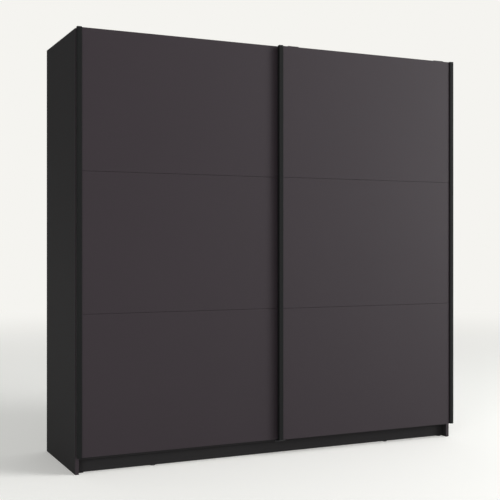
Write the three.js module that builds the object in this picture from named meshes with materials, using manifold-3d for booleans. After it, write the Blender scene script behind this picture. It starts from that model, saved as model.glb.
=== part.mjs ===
// Two-door sliding wardrobe, in millimetres, +Z up, front towards -Y.
// The origin is on the floor, in the middle of the wardrobe's width and depth.
// Two top-hung doors run in front of the carcass: the left one next to it, the right one before that.
import * as THREE from "three";
import { mergeVertices } from "three/addons/utils/BufferGeometryUtils.js";
import Module from "manifold-3d";

const wasm = await Module();
wasm.setup();

// Carcass
const width = 2150; // over both side panels
const sideHeight = 2105;
const sideDepth = 580;
const sideThickness = 18;
const boardThickness = 16; // every fixed board between the sides
const frontRecess = 2; // front edges of the inner boards behind those of the sides
const bottomPanelHeight = 69; // floor to the underside of the bottom panels
const topPanelDrop = 59; // top of the sides to the upper face of the top panels
const plinthRecess = 38;
const plinthRearInset = 24; // rear plinth in front of the back sheets
const backThickness = 3;
const backInset = 6; // back sheets in front of the sides' rear edges
const stripFlange = 12; // each flange of a back joint strip
const stripWall = 1;
const shelfClearHeight = 310; // open height over a hat shelf
const shelfRecess = 20;
const glideHeight = 3;
const glideRadius = 13;
const glideInset = 39; // outer glides, from the outer faces of the sides
const glideSpan = 361; // outer glides to inner glides
const fitGap = 0.3; // between pieces that are let into each other

// Clothes rails
const railWidth = 15;
const railHeight = 30;
const railWall = 1.2;
const railDrop = 60; // underside of the shelf to the middle of the rail
const socketPlate = 3;
const socketDepth = 14;
const socketRim = 4;

// Doors
const doorOverlap = 46; // of the closed doors, in the middle of the wardrobe
const doorInset = 3.5; // closed doors inside the outer faces of the sides
const doorBottom = 82;
const doorTopRise = 3; // top edge of the boards over the sides
const barWidth = 23;
const barProud = 7; // bars in front of the boards
const barRise = 2; // bars over the top edge of the boards
const barChamfer = 1;
const barGrooveDepth = 8;
const boardTongue = 6; // of a board inside the bar's groove
const panelThickness = 8;
const panelGrooveSlack = 0.2;
const seamGap = 1; // between one board and the next
const doorRailHeight = 90; // top and bottom rail
const crossRailHeight = 50;
const carcassGap = 6.5; // back of the left door to the sides' front edges
const doorGap = 3; // back of the right door to the front of the left one

// Running gear
const hangerInset = 90; // wheel axis from the end of its door
const hangerWidth = 60;
const crankWidth = 32; // of the plate that carries a cranked hanger's wheel
const crankSpacer = 7; // that plate to its wheel
const hangerReach = 72; // leg of a hanger below the top edge of the boards
const steel = 2.5;
const armClearance = 1; // cranked arm over the bars of the left door
const armBend = 4; // sloped corner of a cranked arm, along y and z
const axleRadius = 4;
const axleGap = 0.3;
const shoulderRadius = 6.5;
const shoulderGap = 0.5;
const retainerLength = 1.5;
const wheelTread = 15; // radius at the bottom of the groove
const wheelFlangeRise = 4; // flange over the tread
const wheelWidth = 10;
const wheelLip = 1.5;
const wheelGrooveWidth = 4;
const wheelGap = 0.3; // tread over the running rib
const trackBase = 2.5;
const trackWall = 2;
const trackInset = 4; // front of the track behind the sides' front edges
const ribHeight = 18;
const ribWidth = 3;
const ribTopWidth = 2;
const frontRibInset = 16; // front of the track to its front rib
const ribSpacing = 28;
const rearRibInset = 16; // rear rib to the back of the track
const trackFrontLip = 8;
const trackRearLip = 22;
const trackEndGap = 1;
const stopHeight = 26;
const stopGap = 1.5; // wheel to stop at the end of the travel

// Bottom guide, one fixed block in the middle for both doors
const finThickness = 1.6;
const finLength = 24;
const finHeight = 12; // inside a door's groove
const finClearance = 0.45; // to each wall of the slot it runs in
const guideSlotWall = 1;
const finHeadroom = 4; // over a fin, inside its slot
const guideGap = 4; // under the doors
const guideWidth = 44;
const guidePlate = 3;
const guideBaseDepth = 30;

// Wall brackets
const bracketWidth = 40;
const bracketDepth = 60;
const bracketRise = 42;
const bracketThickness = 2;
const bracketX = 700;

// Worked out from the sizes above
const guideSlotWidth = finThickness + 2 * finClearance;
const guideSlotHeight = finHeight + finHeadroom;
const wheelFlange = wheelTread + wheelFlangeRise;
const doorRailDepth = guideSlotWidth + 2 * guideSlotWall;
const barDepth = barProud + panelThickness + doorRailDepth;
const doorStack = carcassGap + barDepth + doorGap + barDepth;
const depth = sideDepth + doorStack;
const sideFrontY = -depth / 2 + doorStack;
const sideRearY = sideFrontY + sideDepth;
const innerX = width / 2 - sideThickness;
const innerFrontY = sideFrontY + frontRecess;
const backRearY = sideRearY - backInset;
const innerRearY = backRearY - backThickness;
const bottomTop = bottomPanelHeight + boardThickness;
const topUpper = sideHeight - topPanelDrop;
const topUnder = topUpper - boardThickness;
const shelfTop = topUnder - shelfClearHeight;
const shelfUnder = shelfTop - boardThickness;
const railZ = shelfUnder - railDrop;
const railY = (innerFrontY + innerRearY) / 2;
const plinthFrontY = sideFrontY + plinthRecess;
const plinthRearY = innerRearY - plinthRearInset;
const doorWidth = (width - 2 * doorInset + doorOverlap) / 2;
const doorHeight = sideHeight + doorTopRise - doorBottom;
const boardLength = doorHeight / 3; // three equal boards, one over the other
const leftDoorY = sideFrontY - carcassGap;
const rightDoorY = leftDoorY - barDepth - doorGap;
const trackFrontY = sideFrontY + trackInset;
const frontRibY = trackFrontY + frontRibInset;
const rearRibY = frontRibY + ribSpacing;
const trackRearY = rearRibY + rearRibInset;
const axleZ = topUpper + ribHeight + wheelGap + wheelTread;
const armUnder = doorBottom + doorHeight + barRise + armClearance;

// Materials
function finish(color, roughness, metalness) {
  return new THREE.MeshStandardMaterial({ color, roughness, metalness });
}

const carcassBoard = finish(0x3a3739, 0.6, 0);
const doorBoard = finish(0x4a4448, 0.5, 0);
const blackBar = finish(0x29292a, 0.45, 0.2);
const backSheet = finish(0x54504f, 0.8, 0);
const zincSteel = finish(0xa9adb0, 0.35, 0.9);
const aluminium = finish(0xb8babc, 0.4, 0.9);
const blackPlastic = finish(0x1f1f20, 0.55, 0);
const wheelPlastic = finish(0xd8d6cf, 0.5, 0);

// A mesh under its node's name, placed at x, y, z.
function part(name, geometry, material, x = 0, y = 0, z = 0) {
  const mesh = new THREE.Mesh(geometry, material);
  mesh.name = name;
  mesh.position.set(x, y, z);
  return mesh;
}

// A board between two values of x, of y and of z.
function board(name, material, [x0, x1], [y0, y1], [z0, z1]) {
  const geometry = new THREE.BoxGeometry(x1 - x0, y1 - y0, z1 - z0);
  return part(name, geometry, material, (x0 + x1) / 2, (y0 + y1) / 2, (z0 + z1) / 2);
}

// A flat outline given as [x, y] pairs, extruded along z from 0 to length.
function extruded(points, length, curveSegments = 1) {
  const shape = new THREE.Shape(points.map(([x, y]) => new THREE.Vector2(x, y)));
  return new THREE.ExtrudeGeometry(shape, { depth: length, bevelEnabled: false, curveSegments });
}

// An outline given as [y, z] pairs, extruded along x from -length/2 to length/2.
function section(points, length) {
  const geometry = extruded(points, length).translate(0, 0, -length / 2);
  return geometry.rotateX(Math.PI / 2).rotateZ(Math.PI / 2);
}

// An outline given as [x, z] pairs, extruded along y from 0 to length.
function elevation(points, length) {
  return extruded(points, length).rotateX(Math.PI / 2).translate(0, length, 0);
}

function block([x0, x1], [y0, y1], [z0, z1]) {
  const geometry = new THREE.BoxGeometry(x1 - x0, y1 - y0, z1 - z0);
  return geometry.translate((x0 + x1) / 2, (y0 + y1) / 2, (z0 + z1) / 2);
}

// A round bar along y, between two values of y.
function roundBar(radius, x, [y0, y1], z, sides = 24) {
  const geometry = new THREE.CylinderGeometry(radius, radius, y1 - y0, sides);
  return geometry.translate(x, (y0 + y1) / 2, z);
}

// Booleans on closed geometries
function solidOf(geometry) {
  const bare = geometry.clone();
  bare.deleteAttribute("normal");
  bare.deleteAttribute("uv");
  const merged = mergeVertices(bare, 1e-4);
  return new wasm.Manifold(
    new wasm.Mesh({
      numProp: 3,
      vertProperties: merged.attributes.position.array,
      triVerts: new Uint32Array(merged.index.array),
    }),
  );
}

function geometryOf(solid) {
  const mesh = solid.getMesh();
  const geometry = new THREE.BufferGeometry();
  geometry.setAttribute("position", new THREE.BufferAttribute(mesh.vertProperties, 3));
  geometry.setIndex(new THREE.BufferAttribute(mesh.triVerts, 1));
  geometry.computeVertexNormals();
  return geometry;
}

function joined(...geometries) {
  return geometryOf(geometries.map(solidOf).reduce((a, b) => a.add(b)));
}

function cut(geometry, ...tools) {
  return geometryOf(tools.map(solidOf).reduce((a, b) => a.subtract(b), solidOf(geometry)));
}

// Carcass pieces; side is -1 on the left and 1 on the right.
const sideWord = (side) => (side < 0 ? "left" : "right");
const ordered = (a, b) => (a < b ? [a, b] : [b, a]);

function sidePanel(side) {
  const x = ordered(side * innerX, (side * width) / 2);
  return board(`side_panel_${sideWord(side)}`, carcassBoard, x, [sideFrontY, sideRearY], [0, sideHeight]);
}

// The middle panel stands on the floor between the two plinths and is notched over them.
function middlePanel() {
  const frontNotch = plinthFrontY + boardThickness + fitGap;
  const rearNotch = plinthRearY - boardThickness - fitGap;
  const outline = [
    [frontNotch, 0],
    [rearNotch, 0],
    [rearNotch, bottomPanelHeight],
    [innerRearY, bottomPanelHeight],
    [innerRearY, topUnder],
    [innerFrontY, topUnder],
    [innerFrontY, bottomPanelHeight],
    [frontNotch, bottomPanelHeight],
  ];
  return part("middle_panel", section(outline, boardThickness), carcassBoard);
}

// Bottom panels butt against the middle panel, top panels lie over it and meet above it.
function bottomPanel(side) {
  const x = ordered((side * boardThickness) / 2, side * innerX);
  const z = [bottomPanelHeight, bottomTop];
  return board(`bottom_panel_${sideWord(side)}`, carcassBoard, x, [innerFrontY, innerRearY], z);
}

function topPanel(side) {
  const x = ordered(0, side * innerX);
  return board(`top_panel_${sideWord(side)}`, carcassBoard, x, [innerFrontY, innerRearY], [topUnder, topUpper]);
}

function plinths() {
  const x = [-innerX, innerX];
  return [
    board("plinth_front", carcassBoard, x, [plinthFrontY, plinthFrontY + boardThickness],
      [glideHeight, bottomPanelHeight]),
    board("plinth_rear", carcassBoard, x, [plinthRearY - boardThickness, plinthRearY], [0, bottomPanelHeight]),
  ];
}

function plinthGlide(side, place, inset) {
  const profile = [
    [0, 0],
    [glideRadius - 1, 0],
    [glideRadius, 1],
    [glideRadius, glideHeight],
    [0, glideHeight],
  ].map(([r, h]) => new THREE.Vector2(r, h));
  const geometry = new THREE.LatheGeometry(profile, 24).rotateX(Math.PI / 2);
  const x = side * (width / 2 - inset);
  return part(`plinth_glide_${sideWord(side)}_${place}`, geometry, blackPlastic, x, plinthFrontY + boardThickness / 2, 0);
}

// Each compartment's back is two thin sheets, held where they meet by a strip of H section.
function backSheets(side) {
  const middle = (side * innerX) / 2;
  const web = stripWall / 2 + fitGap;
  const z = [bottomPanelHeight, topUpper];
  const y = [innerRearY, backRearY];
  const word = sideWord(side);
  return [
    board(`back_panel_${word}_inner`, backSheet, ordered(side * fitGap, middle - side * web), y, z),
    board(`back_panel_${word}_outer`, backSheet, ordered(middle + side * web, side * (innerX - fitGap)), y, z),
    part(`back_strip_${word}`, backStrip(), blackPlastic, middle, 0, bottomTop + fitGap),
  ];
}

function backStrip() {
  const front = innerRearY - fitGap;
  const rear = backRearY + fitGap;
  const half = stripWall / 2;
  const outline = [
    [-stripFlange, front - stripWall],
    [stripFlange, front - stripWall],
    [stripFlange, front],
    [half, front],
    [half, rear],
    [stripFlange, rear],
    [stripFlange, rear + stripWall],
    [-stripFlange, rear + stripWall],
    [-stripFlange, rear],
    [-half, rear],
    [-half, front],
    [-stripFlange, front],
  ];
  return extruded(outline, topUnder - bottomTop - 2 * fitGap);
}

function hatShelf(side) {
  const x = ordered((side * boardThickness) / 2, side * innerX);
  const y = [innerFrontY + shelfRecess, innerRearY - stripWall - 2 * fitGap];
  return board(`shelf_${sideWord(side)}`, carcassBoard, x, y, [shelfUnder, shelfTop]);
}

// The outline of an oval, upright, as a rectangle with round ends.
function oval(ovalWidth, ovalHeight) {
  const radius = ovalWidth / 2;
  const straight = ovalHeight / 2 - radius;
  const shape = new THREE.Shape();
  shape.absarc(0, straight, radius, 0, Math.PI);
  shape.absarc(0, -straight, radius, Math.PI, 2 * Math.PI);
  shape.closePath();
  return shape;
}

// An oval shape with its width along y and its height along z, extruded along x from 0 to length.
function ovalBar(shape, length) {
  const geometry = new THREE.ExtrudeGeometry(shape, { depth: length, bevelEnabled: false, curveSegments: 10 });
  return geometry.rotateX(Math.PI / 2).rotateZ(Math.PI / 2);
}

function clothesRail(side) {
  const shape = oval(railWidth, railHeight);
  shape.holes.push(oval(railWidth - 2 * railWall, railHeight - 2 * railWall));
  const start = boardThickness / 2 + socketPlate + fitGap;
  const length = innerX - socketPlate - fitGap - start;
  const x = side < 0 ? -start - length : start;
  return part(`clothes_rail_${sideWord(side)}`, ovalBar(shape, length), zincSteel, x, railY, railZ);
}

// A socket is an oval plate on the board with a collar round the rail's end.
function railSocket(side, place) {
  const grown = 2 * (socketRim + fitGap);
  const plate = ovalBar(oval(railWidth + grown, railHeight + grown), socketPlate);
  const collarShape = oval(railWidth + grown - socketRim, railHeight + grown - socketRim);
  collarShape.holes.push(oval(railWidth + 2 * fitGap, railHeight + 2 * fitGap));
  const geometry = joined(plate, ovalBar(collarShape, socketDepth));
  const towards = place === "outer" ? -side : side;
  const face = place === "outer" ? innerX : boardThickness / 2;
  const mesh = part(`rail_socket_${sideWord(side)}_${place}`, geometry, zincSteel, side * face, railY, railZ);
  mesh.rotation.z = towards < 0 ? Math.PI : 0;
  return mesh;
}

// The rib's outline stands on the track's base; its top is narrower, for the wheel's groove.
function ribOutline(y) {
  const shoulder = ribHeight - (ribWidth - ribTopWidth) / 2;
  return [
    [y + ribWidth / 2, trackBase],
    [y + ribWidth / 2, shoulder],
    [y + ribTopWidth / 2, ribHeight],
    [y - ribTopWidth / 2, ribHeight],
    [y - ribWidth / 2, shoulder],
    [y - ribWidth / 2, trackBase],
  ];
}

function topTrack() {
  const outline = [
    [trackFrontY, 0],
    [trackRearY, 0],
    [trackRearY, trackRearLip],
    [trackRearY - trackWall, trackRearLip],
    [trackRearY - trackWall, trackBase],
    ...ribOutline(rearRibY),
    ...ribOutline(frontRibY),
    [trackFrontY + trackWall, trackBase],
    [trackFrontY + trackWall, trackFrontLip],
    [trackFrontY, trackFrontLip],
  ];
  return part("top_track", section(outline, 2 * (innerX - trackEndGap)), aluminium, 0, 0, topUpper);
}

// A stop straddles both ribs at its end of the track, a little beyond the wheels' last place.
function trackStop(side) {
  const wheelEnd = width / 2 - doorInset - hangerInset + wheelFlange + stopGap;
  const x = ordered(side * wheelEnd, side * (innerX - trackEndGap));
  const y = [trackFrontY + trackWall + fitGap, trackRearY - trackWall - fitGap];
  const slots = [frontRibY, rearRibY].map((rib) =>
    block(
      [x[0] - 1, x[1] + 1],
      [rib - ribWidth / 2 - fitGap, rib + ribWidth / 2 + fitGap],
      [0, ribHeight + fitGap],
    ),
  );
  const geometry = cut(block(x, y, [trackBase, stopHeight]), ...slots);
  return part(`track_stop_${sideWord(side)}`, geometry, blackPlastic, 0, 0, topUpper);
}

// The guide is screwed under the bottom panels; its arm runs forward under both doors and carries a fin for each.
function bottomGuide() {
  const armTop = doorBottom - guideGap;
  const armUnderside = armTop - guidePlate;
  const finY = (doorBackY) => doorBackY - doorRailDepth / 2;
  const halfFin = finThickness / 2;
  const arm = [
    [innerFrontY + guideBaseDepth, bottomPanelHeight - guidePlate],
    [innerFrontY + guideBaseDepth, bottomPanelHeight],
    [innerFrontY - fitGap, bottomPanelHeight],
    [innerFrontY - fitGap, armTop],
    [finY(rightDoorY) - halfFin, armTop],
    [finY(rightDoorY) - halfFin, armUnderside],
    [innerFrontY - fitGap - guidePlate, armUnderside],
    [innerFrontY - fitGap - guidePlate, bottomPanelHeight - guidePlate],
  ];
  const fins = [leftDoorY, rightDoorY].map((y) =>
    block(
      [-finLength / 2, finLength / 2],
      [finY(y) - halfFin, finY(y) + halfFin],
      [armUnderside + 1, doorBottom + finHeight],
    ),
  );
  return part("bottom_guide", joined(section(arm, guideWidth), ...fins), blackPlastic);
}

// A bracket lies on the top panel and stands up against the wall.
function wallBracket(side) {
  const outline = [
    [sideRearY - bracketDepth, 0],
    [sideRearY, 0],
    [sideRearY, bracketRise],
    [sideRearY - bracketThickness, bracketRise],
    [sideRearY - bracketThickness, bracketThickness],
    [sideRearY - bracketDepth, bracketThickness],
  ];
  const geometry = section(outline, bracketWidth);
  return part(`wall_bracket_${sideWord(side)}`, geometry, zincSteel, side * bracketX, 0, topUpper);
}

function carcass() {
  const group = new THREE.Group();
  group.add(middlePanel(), ...plinths(), topTrack(), bottomGuide());
  for (const side of [-1, 1]) {
    group.add(sidePanel(side), bottomPanel(side), topPanel(side), ...backSheets(side), hatShelf(side));
    group.add(clothesRail(side), railSocket(side, "outer"), railSocket(side, "inner"));
    group.add(plinthGlide(side, "outer", glideInset), plinthGlide(side, "inner", glideInset + glideSpan));
    group.add(trackStop(side), wallBracket(side));
  }
  return group;
}

// Door pieces, in the door's own frame: x from its left end, y from its back, z from its bottom edge.
function doorBar(name, x, grooveSide) {
  const front = -barDepth;
  const grooveFront = front + barProud - panelGrooveSlack;
  const grooveRear = front + barProud + panelThickness + panelGrooveSlack;
  const grooveEnd = barWidth - barGrooveDepth;
  const outline = [
    [0, 0],
    [0, front + barChamfer],
    [barChamfer, front],
    [barWidth - barChamfer, front],
    [barWidth, front + barChamfer],
    [barWidth, grooveFront],
    [grooveEnd, grooveFront],
    [grooveEnd, grooveRear],
    [barWidth, grooveRear],
    [barWidth, 0],
  ].map(([u, y]) => [grooveSide > 0 ? u : barWidth - u, y]);
  const bar = extruded(outline, doorHeight + barRise);
  const guideSlot = block([-1, barWidth + 1], slotRange(), [-1, guideSlotHeight]);
  return part(name, cut(bar, guideSlot), blackBar, x, 0, 0);
}

// The slot that runs over the bottom guide's fin.
function slotRange() {
  return [-doorRailDepth / 2 - guideSlotWidth / 2, -doorRailDepth / 2 + guideSlotWidth / 2];
}

function doorBoards(prefix) {
  const x = [barWidth - boardTongue, doorWidth - barWidth + boardTongue];
  const y = [-barDepth + barProud, -doorRailDepth];
  return ["lower", "middle", "upper"].map((place, row) => {
    const bottom = row * boardLength + (row > 0 ? seamGap / 2 : 0);
    const top = (row + 1) * boardLength - (row < 2 ? seamGap / 2 : 0);
    return board(`${prefix}_board_${place}`, doorBoard, x, y, [bottom, top]);
  });
}

function crossRail(prefix, place, row) {
  const x = [barWidth + fitGap, doorWidth - barWidth - fitGap];
  const middle = row * boardLength;
  const z = [middle - crossRailHeight / 2, middle + crossRailHeight / 2];
  return board(`${prefix}_cross_rail_${place}`, blackBar, x, [-doorRailDepth, 0], z);
}

// The bottom rail is a channel, open downwards.
function bottomRail(prefix) {
  const [slotFront, slotRear] = slotRange();
  const outline = [
    [slotFront - guideSlotWall, 0],
    [slotFront, 0],
    [slotFront, guideSlotHeight],
    [slotRear, guideSlotHeight],
    [slotRear, 0],
    [slotRear + guideSlotWall, 0],
    [slotRear + guideSlotWall, doorRailHeight],
    [slotFront - guideSlotWall, doorRailHeight],
  ];
  const geometry = section(outline, doorWidth - 2 * (barWidth + fitGap));
  return part(`${prefix}_bottom_rail`, geometry, blackBar, doorWidth / 2, 0, 0);
}

// The top rail of the right door has pockets for the legs of its cranked hangers.
function topRail(prefix, pocketed) {
  const x = [barWidth + fitGap, doorWidth - barWidth - fitGap];
  const rail = block(x, [-doorRailDepth, 0], [doorHeight - doorRailHeight, doorHeight]);
  const half = hangerWidth / 2 + fitGap;
  const pockets = hangerPlaces().map((place) =>
    block([place - half, place + half], [-doorRailDepth - 1, 1], [doorHeight - hangerReach - fitGap, doorHeight + 1]),
  );
  return part(`${prefix}_top_rail`, pocketed ? cut(rail, ...pockets) : rail, blackBar);
}

function hangerPlaces() {
  return [hangerInset, doorWidth - hangerInset];
}

// The axle behind a hanger's plate: shoulder, journal and retaining head, along y, round the wheel's middle.
function axle(plateY, wheelY, z) {
  const bossEnd = wheelY - wheelWidth / 2 - shoulderGap;
  const headStart = wheelY + wheelWidth / 2 + shoulderGap;
  return [
    roundBar(shoulderRadius, 0, [plateY - steel / 2, bossEnd], z),
    roundBar(axleRadius, 0, [bossEnd - 1, headStart + 1], z),
    roundBar(shoulderRadius, 0, [headStart, headStart + retainerLength], z),
  ];
}

// A straight hanger is a plate on the back of the left door's top rail.
function straightHanger(wheelY, z) {
  const half = hangerWidth / 2;
  const crown = half / 2;
  const outline = [
    [-half, doorHeight - hangerReach],
    [half, doorHeight - hangerReach],
    [half, z - crown],
    [crown, z + crown],
    [-crown, z + crown],
    [-half, z - crown],
  ];
  return joined(elevation(outline, steel), ...axle(steel, wheelY, z));
}

// A cranked hanger goes from the right door's top rail over the left door and down again to its wheel.
function crankedHanger(wheelY, z, under) {
  const top = under + steel;
  const front = -doorRailDepth;
  const plateRear = wheelY - wheelWidth / 2 - crankSpacer;
  const legAndArm = [
    [front, doorHeight - hangerReach],
    [front + steel, doorHeight - hangerReach],
    [front + steel, under - armBend],
    [front + steel + armBend, under],
    [plateRear, under],
    [plateRear, top],
    [front + armBend, top],
    [front, top - armBend],
  ];
  const crank = [-crankWidth / 2, crankWidth / 2];
  const plate = block(crank, [plateRear - steel, plateRear], [z - shoulderRadius, top]);
  return joined(section(legAndArm, hangerWidth), plate, ...axle(plateRear, wheelY, z));
}

// A grooved wheel turned about y, with a bore for its axle.
function wheelGeometry() {
  const half = wheelWidth / 2;
  const bore = axleRadius + axleGap;
  const profile = [
    [bore, -half],
    [wheelFlange, -half],
    [wheelFlange, -half + wheelLip],
    [wheelTread, -wheelGrooveWidth / 2],
    [wheelTread, wheelGrooveWidth / 2],
    [wheelFlange, half - wheelLip],
    [wheelFlange, half],
    [bore, half],
    [bore, -half],
  ].map(([r, y]) => new THREE.Vector2(r, y));
  return new THREE.LatheGeometry(profile, 32);
}

// ribY is the rib that this door's wheels run on; x is the left end of the closed door.
function door(prefix, x, backY, ribY, cranked) {
  const group = new THREE.Group();
  group.position.set(x, backY, doorBottom);
  const wheelY = ribY - backY;
  const wheelZ = axleZ - doorBottom;
  group.add(doorBar(`${prefix}_bar_left`, 0, 1), doorBar(`${prefix}_bar_right`, doorWidth - barWidth, -1));
  group.add(...doorBoards(prefix), topRail(prefix, cranked), bottomRail(prefix));
  group.add(crossRail(prefix, "lower", 1), crossRail(prefix, "upper", 2));
  hangerPlaces().forEach((place, index) => {
    const word = ["left", "right"][index];
    const hanger = cranked ? crankedHanger(wheelY, wheelZ, armUnder - doorBottom) : straightHanger(wheelY, wheelZ);
    group.add(part(`${prefix}_hanger_${word}`, hanger, zincSteel, place));
    group.add(part(`${prefix}_wheel_${word}`, wheelGeometry(), wheelPlastic, place, wheelY, wheelZ));
  });
  return group;
}

const wardrobe = new THREE.Group();
wardrobe.add(carcass());
wardrobe.add(door("left_door", -width / 2 + doorInset, leftDoorY, frontRibY, false));
wardrobe.add(door("right_door", width / 2 - doorInset - doorWidth, rightDoorY, rearRibY, true));

export default wardrobe;
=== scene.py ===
import math
import bpy
import numpy as np
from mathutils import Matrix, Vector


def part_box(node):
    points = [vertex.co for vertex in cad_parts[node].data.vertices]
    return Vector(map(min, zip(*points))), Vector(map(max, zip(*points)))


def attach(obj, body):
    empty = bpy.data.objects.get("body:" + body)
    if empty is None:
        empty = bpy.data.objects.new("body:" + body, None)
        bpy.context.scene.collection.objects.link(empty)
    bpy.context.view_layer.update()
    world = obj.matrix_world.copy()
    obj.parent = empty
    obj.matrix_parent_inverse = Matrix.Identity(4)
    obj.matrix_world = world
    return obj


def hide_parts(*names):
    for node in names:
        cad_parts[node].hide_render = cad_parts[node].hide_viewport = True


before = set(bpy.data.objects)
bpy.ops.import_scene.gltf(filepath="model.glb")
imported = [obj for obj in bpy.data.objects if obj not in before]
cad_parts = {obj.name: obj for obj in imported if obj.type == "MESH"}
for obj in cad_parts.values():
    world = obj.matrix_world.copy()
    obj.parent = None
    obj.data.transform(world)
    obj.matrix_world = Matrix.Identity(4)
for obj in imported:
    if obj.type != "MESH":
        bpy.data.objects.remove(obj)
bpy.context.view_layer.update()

# Two-door sliding wardrobe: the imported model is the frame, and each piece takes its place from it.
mm = 0.001
xAxis, yAxis, zAxis = range(3)
scene = bpy.context.scene
scene.view_settings.view_transform = "Standard"

# Camera
view = {"place": (-2.2317, -4.6788, 1.0840), "turn": 25.075, "lens": 68.67, "sensor": 36,
        "shiftY": -0.01024, "farthest": 200}


def addCamera():
    data = bpy.data.cameras.new("camera")
    data.sensor_width = view["sensor"]
    data.lens = view["lens"]
    data.shift_y = view["shiftY"]
    data.clip_end = view["farthest"]
    camera = bpy.data.objects.new("camera", data)
    camera.location = view["place"]
    camera.rotation_euler = (math.radians(90), 0, -math.radians(view["turn"]))
    scene.collection.objects.link(camera)
    scene.camera = camera


addCamera()
print("camera placed")


# Surfaces: a shape is an array of points and a list of faces
def quadGrid(rows, columns, closeRows=False):
    # four neighbours of a grid of points, numbered row by row; each row is a closed loop
    row = np.arange(rows if closeRows else rows - 1)[:, None]
    column = np.arange(columns)[None, :]
    nextRow = (row + 1) % rows
    nextColumn = (column + 1) % columns
    corners = (row * columns + column, row * columns + nextColumn,
               nextRow * columns + nextColumn, nextRow * columns + column)
    return np.stack(np.broadcast_arrays(*corners), -1).reshape(-1, 4)


def outwards(points, quads, ends):
    # the volume is a sixth of the sum of a . (b x c) over all triangles; a negative one means inside out
    fans = [quads[:, [0, 1, 2]], quads[:, [0, 2, 3]]]
    fans += [np.stack([np.full(len(end) - 2, end[0]), end[1:-1], end[2:]], 1) for end in ends]
    a, b, c = points[np.concatenate(fans)].transpose(1, 0, 2)
    turn = -1 if np.einsum("ij,ij->", a, np.cross(b, c)) < 0 else 1
    return points, quads[:, ::turn].tolist() + [end[::turn].tolist() for end in ends]


def loft(loops):
    # closed loops carried from the first to the last, with a flat end on each: loops has rows, columns, xyz
    rows, columns = loops.shape[:2]
    first = np.arange(columns)
    ends = [first[::-1], first + (rows - 1) * columns]
    return outwards(loops.reshape(-1, 3), quadGrid(rows, columns), ends)


def ringLoft(loops):
    # closed loops carried round until the last meets the first
    rows, columns = loops.shape[:2]
    return outwards(loops.reshape(-1, 3), quadGrid(rows, columns, closeRows=True), [])


crease = math.radians(35)


def addPiece(name, shapes, material, body, replaces=()):
    # several shapes make one piece; an edge sharper than crease keeps its edge, and large faces stay even
    points, faces, start = [], [], 0
    for shapePoints, shapeFaces in shapes:
        points.append(shapePoints)
        faces += [[start + k for k in face] for face in shapeFaces]
        start += len(shapePoints)
    mesh = bpy.data.meshes.new(name)
    mesh.from_pydata(np.concatenate(points).tolist(), [], faces)
    mesh.shade_smooth()
    mesh.set_sharp_from_angle(angle=crease)
    mesh.materials.append(material)
    piece = bpy.data.objects.new(name, mesh)
    even = piece.modifiers.new("evenShading", "WEIGHTED_NORMAL")
    even.keep_sharp = True
    scene.collection.objects.link(piece)
    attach(piece, body)
    if replaces:
        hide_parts(*replaces)
    return piece


def inSpace(outline, axis, along):
    # outlines in the plane across an axis become points: the two other axes in order, and along on the axis
    outline, along = np.asarray(outline, float), np.asarray(along, float)
    points = np.empty(outline.shape[:-1] + (3,))
    wide, tall = [a for a in range(3) if a != axis]
    points[..., wide] = outline[..., 0]
    points[..., tall] = outline[..., 1]
    points[..., axis] = along
    return points


def roundedRectangle(width, height, radius, steps):
    # four quarter turns about the corner centres: centre + radius times (cos t, sin t)
    turn = np.linspace(0, math.pi / 2, steps + 1)
    angle = (np.arange(4)[:, None] * math.pi / 2 + turn).ravel()
    corner = np.repeat(np.arange(4), steps + 1)
    centreX = np.where((corner == 0) | (corner == 3), 1, -1) * (width / 2 - radius)
    centreY = np.where(corner < 2, 1, -1) * (height / 2 - radius)
    return np.stack([centreX + radius * np.cos(angle), centreY + radius * np.sin(angle)], 1)


def ovalOutline(width, height, steps=12):
    # half a turn about each end's centre, the two centres (height - width) / 2 above and below the middle
    angle = np.concatenate([np.linspace(0, math.pi, steps + 1), np.linspace(math.pi, 2 * math.pi, steps + 1)])
    lift = np.repeat([1, -1], steps + 1) * (height - width) / 2
    return np.stack([width / 2 * np.cos(angle), lift + width / 2 * np.sin(angle)], 1)


def filleted(points, reach, steps=4, closed=True):
    # each corner becomes a parabola between the two points that lie reach away from it along its sides
    points = np.asarray(points, float)
    reach = np.broadcast_to(reach, len(points))[:, None]
    before = np.roll(points, 1, 0) - points
    after = np.roll(points, -1, 0) - points
    start = points + before / np.linalg.norm(before, axis=1)[:, None] * reach
    stop = points + after / np.linalg.norm(after, axis=1)[:, None] * reach
    s = np.linspace(0, 1, steps + 1)[None, :, None]
    curve = (1 - s) ** 2 * start[:, None] + 2 * s * (1 - s) * points[:, None] + s ** 2 * stop[:, None]
    if closed:
        return curve.reshape(-1, 2)
    return np.concatenate([points[:1], curve[1:-1].reshape(-1, 2), points[-1:]])


def outwardNormals(outline):
    # at each point of a closed outline, the mean of the unit normals of its two sides
    side = np.roll(outline, -1, 0) - outline
    side /= np.linalg.norm(side, axis=1)[:, None]
    normal = np.stack([side[:, 1], -side[:, 0]], 1)
    normal += np.roll(normal, 1, 0)
    normal /= np.linalg.norm(normal, axis=1)[:, None]
    x, y = outline.T
    area = np.sum(x * np.roll(y, -1) - y * np.roll(x, -1))
    return normal if area > 0 else -normal


def roundedEdge(thickness, edge, steps=2):
    # over a quarter-round edge: inset = edge (1 - sin t), depth = edge (1 - cos t)
    # the far face has the same edge, in reverse
    turn = np.linspace(0, math.pi / 2, steps + 1)
    inset = edge * (1 - np.sin(turn))
    depth = edge * (1 - np.cos(turn))
    return np.concatenate([inset, inset[::-1]]), np.concatenate([depth, thickness - depth[::-1]])


def plate(outline, axis, start, thickness, edge):
    # an outline given thickness along the axis across it; its loops step inwards over both rounded edges
    inset, depth = roundedEdge(thickness, edge)
    loops = outline - outwardNormals(outline) * inset[:, None, None]
    return loft(inSpace(loops, axis, start + depth[:, None]))


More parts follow.
